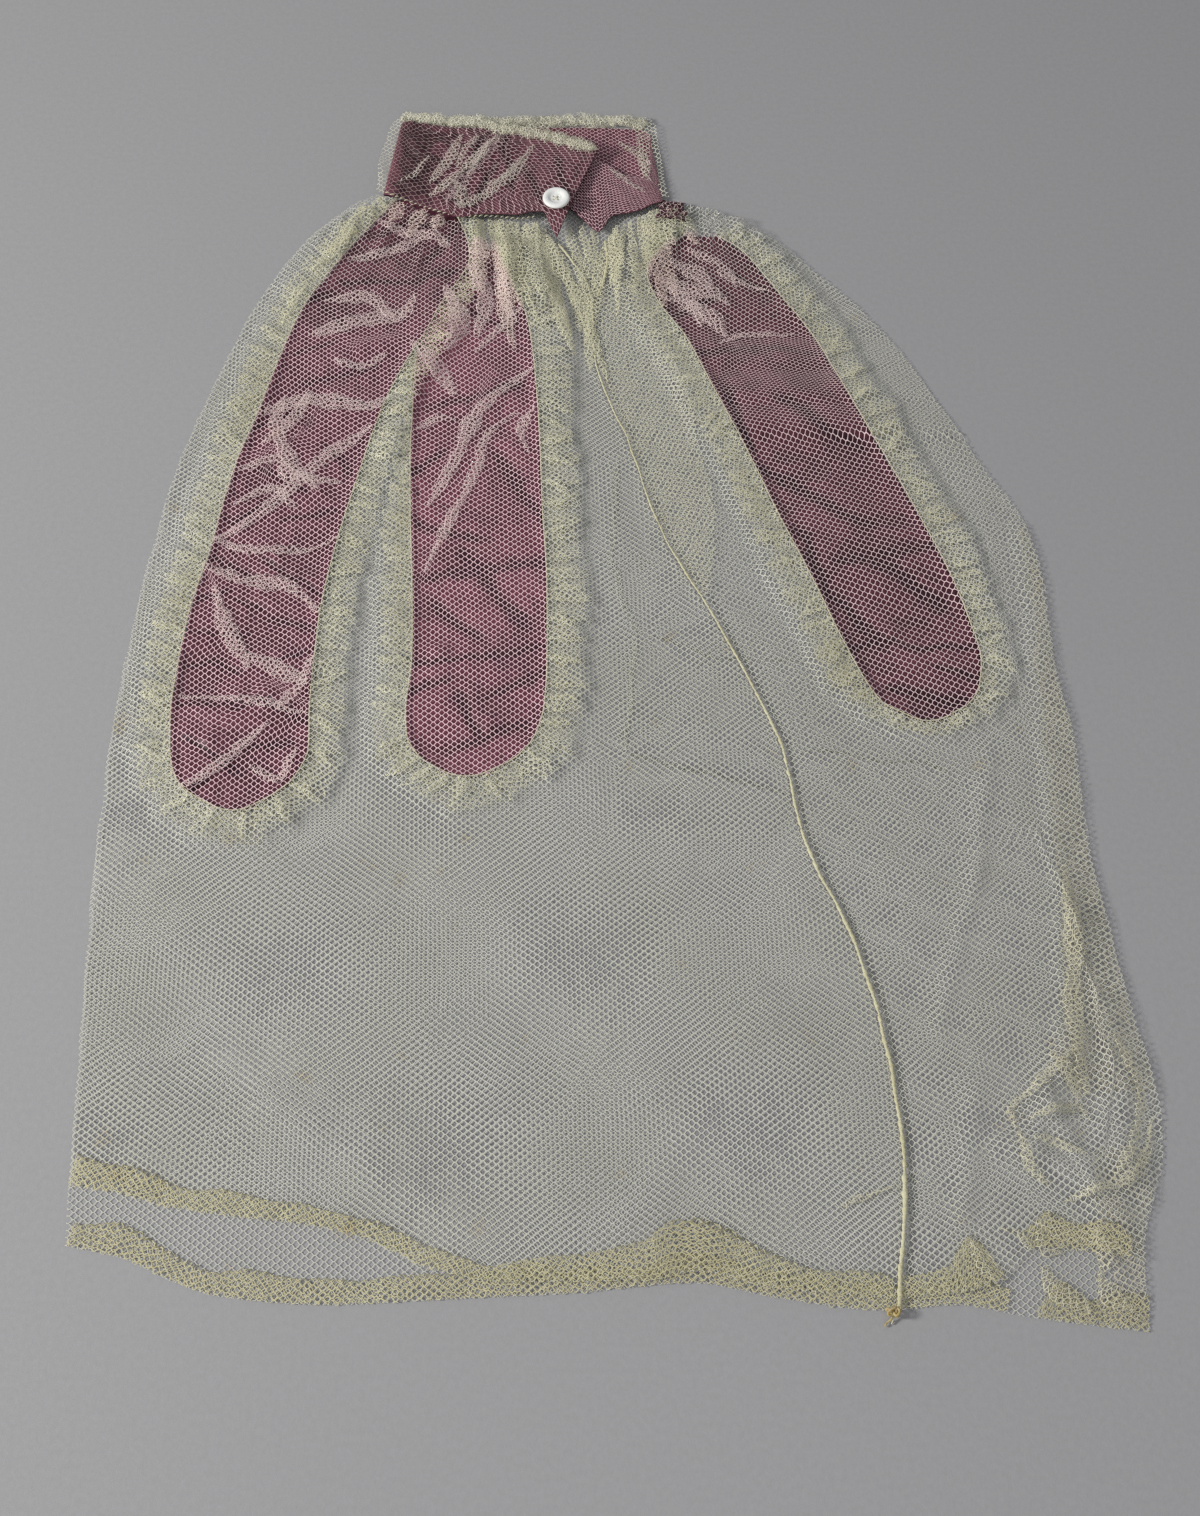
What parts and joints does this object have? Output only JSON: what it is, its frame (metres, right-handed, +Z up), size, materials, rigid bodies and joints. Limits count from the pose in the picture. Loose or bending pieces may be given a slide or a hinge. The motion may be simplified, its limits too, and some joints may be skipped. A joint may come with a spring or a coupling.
{
  "type": "false shirt front",
  "caption": "Net false shirt front laid flat, with a buttoned silk stand collar, round-ended silk tabs edged with gathered frills, and a rolled front edge.",
  "frame": {"origin": "middle of the garment's box, on the surface it lies on", "axes": "+X across the garment, +Y towards the collar, +Z up from the surface"},
  "size_m": [0.4208, 0.609, 0.0095],
  "materials": {
    "net": "open cotton net, matt",
    "net_doubled": "doubled cotton net, matt",
    "net_frill": "gathered cotton net, matt",
    "net_rolled": "rolled and whipped cotton net",
    "silk": "plain-woven silk, soft sheen, creased",
    "thread": "stained cotton thread",
    "china": "glossy white china or glass"
  },
  "bodies": {
    "root": {"back_panel": "net", "back_hem": "net_doubled", "front_left": "net", "front_right": "net", "front_left_hem": "net_doubled", "front_right_hem": "net_doubled", "side_fold_right": "net", "tab_left": "silk", "tab_middle": "silk", "tab_right": "silk", "frill_left": "net_frill", "frill_middle": "net_frill", "frill_right": "net_frill", "centre_roll": "net_rolled", "slit_roll": "net_rolled", "hem_knot": "thread", "collar_band": "silk", "collar_frill": "net_frill", "collar_button": "china"}
  },
  "joints": []
}
